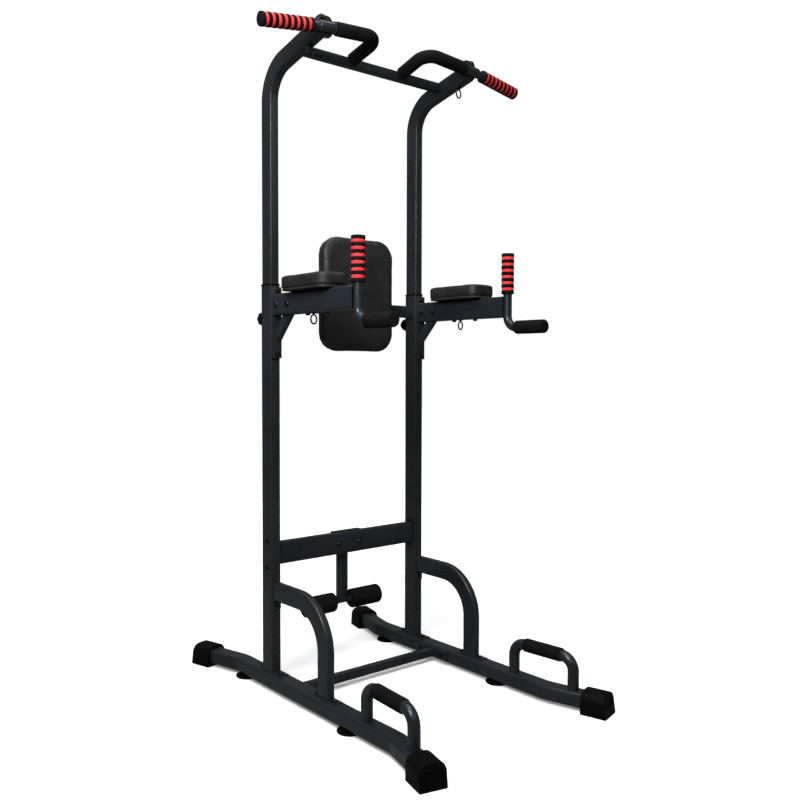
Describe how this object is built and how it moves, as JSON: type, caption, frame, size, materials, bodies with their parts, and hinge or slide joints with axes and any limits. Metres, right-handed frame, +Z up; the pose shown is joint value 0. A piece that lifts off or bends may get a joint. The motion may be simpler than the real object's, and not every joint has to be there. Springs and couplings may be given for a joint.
{
  "type": "power tower",
  "caption": "Free-standing steel power tower with pull-up handles, padded dip arms, back pad, push-up handles and foot rollers.",
  "frame": {"origin": "on the floor, at the centre of the footprint", "axes": "+Z up, the user faces -Y, +X to the user's left"},
  "size_m": [1.1198, 1.3676, 2.253],
  "materials": {
    "frame_paint": "satin dark charcoal powder coat",
    "hardware": "black zinc bolts and eyes",
    "plastic": "matte black moulding",
    "rubber": "matte black rubber",
    "foam": "black closed-cell foam",
    "striped_foam": "black ribbed foam with red bands",
    "vinyl": "black grained vinyl over foam",
    "board": "dark painted plywood"
  },
  "bodies": {
    "base": {"base_rail_l": "frame_paint", "post_l": "frame_paint", "brace_l": "frame_paint", "push_handle_l": "frame_paint", "arm_bracket_l": "frame_paint", "arm_l": "frame_paint", "dip_handle_l": "frame_paint", "cap_front_l": "plastic", "cap_rear_l": "plastic", "collar_l": "plastic", "foot_front_l": "rubber", "foot_rear_l": "rubber", "push_grip_l": "foam", "dip_grip_l": "foam", "dip_striped_l": "striped_foam", "arm_eye_l": "hardware", "arm_bolt_rear_l": "hardware", "arm_bolt_front_l": "hardware", "arm_pad_l": "vinyl", "base_rail_r": "frame_paint", "post_r": "frame_paint", "brace_r": "frame_paint", "push_handle_r": "frame_paint", "arm_bracket_r": "frame_paint", "arm_r": "frame_paint", "dip_handle_r": "frame_paint", "cap_front_r": "plastic", "cap_rear_r": "plastic", "collar_r": "plastic", "foot_front_r": "rubber", "foot_rear_r": "rubber", "push_grip_r": "foam", "dip_grip_r": "foam", "dip_striped_r": "striped_foam", "arm_eye_r": "hardware", "arm_bolt_rear_r": "hardware", "arm_bolt_front_r": "hardware", "arm_pad_r": "vinyl", "base_bar": "frame_paint", "mid_bar": "frame_paint", "roller_hanger": "frame_paint", "back_bar": "frame_paint", "roller_axle": "hardware", "back_pad": "vinyl", "back_board": "board"},
    "upper_frame": {"top_bar": "frame_paint", "mast_l": "frame_paint", "pull_handle_l": "frame_paint", "pull_grip_l": "foam", "pull_striped_l": "striped_foam", "mast_eye_l": "hardware", "mast_r": "frame_paint", "pull_handle_r": "frame_paint", "pull_grip_r": "foam", "pull_striped_r": "striped_foam", "mast_eye_r": "hardware"},
    "pull_pin_left": {"pin_l": "plastic"},
    "pull_pin_right": {"pin_r": "plastic"},
    "roller_left": {"roller_l": "foam"},
    "roller_right": {"roller_r": "foam"}
  },
  "joints": [
    {"name": "upper_frame_height", "type": "slide", "parent": "base", "child": "upper_frame", "axis": [0, 0, 1], "range_m": [-0.45, 0.1]},
    {"name": "pull_pin_left_pull", "type": "slide", "parent": "base", "child": "pull_pin_left", "axis": [0, 1, 0], "range_m": [0, 0.013], "stiffness_N_per_m": 500, "springref_m": -0.006},
    {"name": "pull_pin_right_pull", "type": "slide", "parent": "base", "child": "pull_pin_right", "axis": [0, 1, 0], "range_m": [0, 0.013], "stiffness_N_per_m": 500, "springref_m": -0.006},
    {"name": "roller_left_spin", "type": "hinge", "parent": "base", "child": "roller_left", "pos_m": [-0.1055, 0.278, 0.251], "axis": [1, 0, 0], "continuous": true},
    {"name": "roller_right_spin", "type": "hinge", "parent": "base", "child": "roller_right", "pos_m": [0.1055, 0.278, 0.251], "axis": [1, 0, 0], "continuous": true}
  ]
}
